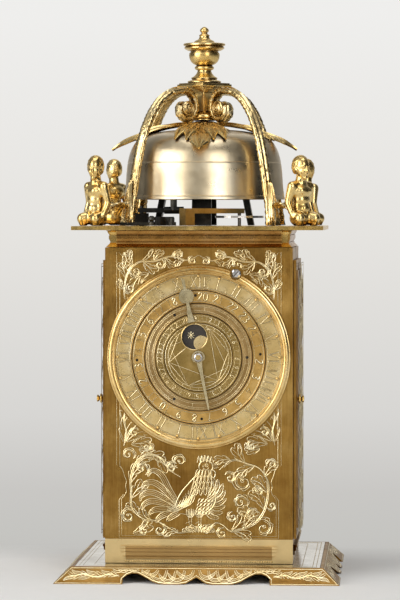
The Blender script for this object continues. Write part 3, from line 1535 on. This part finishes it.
# The blade spring's middle line on the plate, from its screwed foot to its tip
spring_line = [(-0.0175, -0.0510), (-0.0215, -0.0490), (-0.0250, -0.0450), (-0.0275, -0.0400), (-0.0290, -0.0350)]
spring_foot_radius = 0.0026
spring_blade = 0.0011
spring_height = 0.0056


def make_plate_furniture(materials):
    """Small gilt lever with a turned knob, the hammer's blade spring and its screw, along the plate's front edge."""
    x, y = lever_pin_place
    low = plate_top_z + seat_gap

    def arm(bm):
        curve = [(-lever_length, 0.3), (-lever_length * 0.7, 0.1), (-lever_length * 0.35, -0.05), (0, 0)]
        front = [(px, lever_width * (s - 0.4)) for px, s in curve]
        back = [(px, lever_width * (s + 0.4)) for px, s in curve[::-1]]
        made = add_slab(bm, front + back, low, low + lever_thickness)
        bmesh.ops.translate(bm, verts=made, vec=(x, y, 0))

    def knob(bm):
        shares = [(0, 0), (0.55, 0), (0.55, 0.35), (0.4, 0.45), (0.62, 0.6), (0.6, 0.85), (0.25, 1.0), (0, 1.0)]
        profile = [(lever_width * r, low + knob_height * h) for r, h in shares]
        add_turned(bm, profile, 8, matrix=Matrix.Translation((x, y, 0)))

    combine("strike_lever", (arm, knob), materials["gilt"])
    points = [Vector((*p, 0)) for p in spring_line]

    def blade(bm):
        left, right = [], []
        for i, point in enumerate(points):
            ahead = points[min(i + 1, len(points) - 1)] - points[max(i - 1, 0)]
            side = Vector((-ahead.y, ahead.x, 0)).normalized() * spring_blade / 2
            left.append((point.x + side.x, point.y + side.y))
            right.append((point.x - side.x, point.y - side.y))
        add_slab(bm, left + right[::-1], low, low + spring_height)

    def foot(bm):
        shares = [(0, 0), (1, 0), (1, 0.4), (0.62, 0.4), (0.62, 0.85), (0.4, 1.0), (0, 1.0)]
        profile = [(spring_foot_radius * r, low + spring_height * h) for r, h in shares]
        add_turned(bm, profile, 8, matrix=Matrix.Translation(points[0]))

    combine("hammer_spring", (blade, foot), materials["steel"])


def make_fly(materials):
    """Air brake of the striking train: pinion, arbor and two vanes."""
    x = -train_x
    front, back = bar_faces()

    def vanes(bm):
        half = wheel_thickness / 3
        add_box(bm, (x - fly_reach, fly_low_y, third_z - half), (x + fly_reach, fly_high_y, third_z + half))

    def arbor(bm):
        add_arbor(bm, x, third_z, front, back)

    def pinion(bm):
        outline = pinion_outline(pinion_leaves, second_pinion_radius, pi / 2 + pi)
        add_wheel(bm, outline, (), second_plane_y, wheel_thickness * 2, x, third_z)

    combine("fly", (arbor, vanes, pinion), materials["brass"], origin=(x, 0, third_z))


gut_radius = 0.0005


def make_gut_line(name, side, materials):
    """The line where it runs free on the outer side, along the common tangent of barrel and fusee."""
    y = (barrel_low_y + barrel_high_y) / 2
    clear = gut_radius + seat_gap
    at_barrel = barrel_radius * barrel_drum_share + clear
    at_fusee = fusee_radius(y) + clear
    lift = (at_barrel - at_fusee) / (fusee_z - barrel_z)
    outward = sqrt(1 - lift * lift)
    low = (side * (train_x + at_barrel * outward), y, barrel_z + at_barrel * lift)
    high = (side * (train_x + at_fusee * outward), y, fusee_z + at_fusee * lift)
    bm = bmesh.new()
    add_rod(bm, gut_radius, low, high, 8)
    finish(name, bm, materials["gut"])


def make_movement(materials):
    make_movement_frame(materials)
    for label, x in (("strike", -train_x), ("going", train_x)):
        make_barrel(label + "_barrel", x, materials)
        make_fusee(label + "_fusee", x, materials)
        make_gut_line(label + "_line", 1 if x > 0 else -1, materials)
    make_second("strike_pin_wheel", -train_x, True, materials)
    make_second("going_second_wheel", train_x, False, materials)
    make_crown_wheel(materials)
    make_potence(materials)
    make_balance(materials)
    make_balance_cock(materials)
    make_fly(materials)
    make_hammer(materials)
    make_hammer_cock(materials)


def main():
    for obj in list(bpy.data.objects):
        bpy.data.objects.remove(obj)
    materials = make_materials()
    make_base(materials)
    make_panels(materials)
    make_side_frame("left_side_frame", -1, materials)
    make_side_frame("right_side_frame", 1, materials)
    make_frieze(materials)
    for name, sign in (("left", -1), ("right", 1)):
        make_door(name + "_door", sign, materials)
        make_latch(name + "_door_latch", sign, materials)
    make_top_plate(materials)
    make_bell(materials)
    make_stand(materials)
    make_column(materials)
    make_finial(materials)
    make_rosette(materials)
    for corner, signs in corner_signs.items():
        make_strap(corner, signs, materials)
        make_figure(corner, signs, materials)
    make_dial(materials)
    make_plate_furniture(materials)
    make_movement(materials)


main()
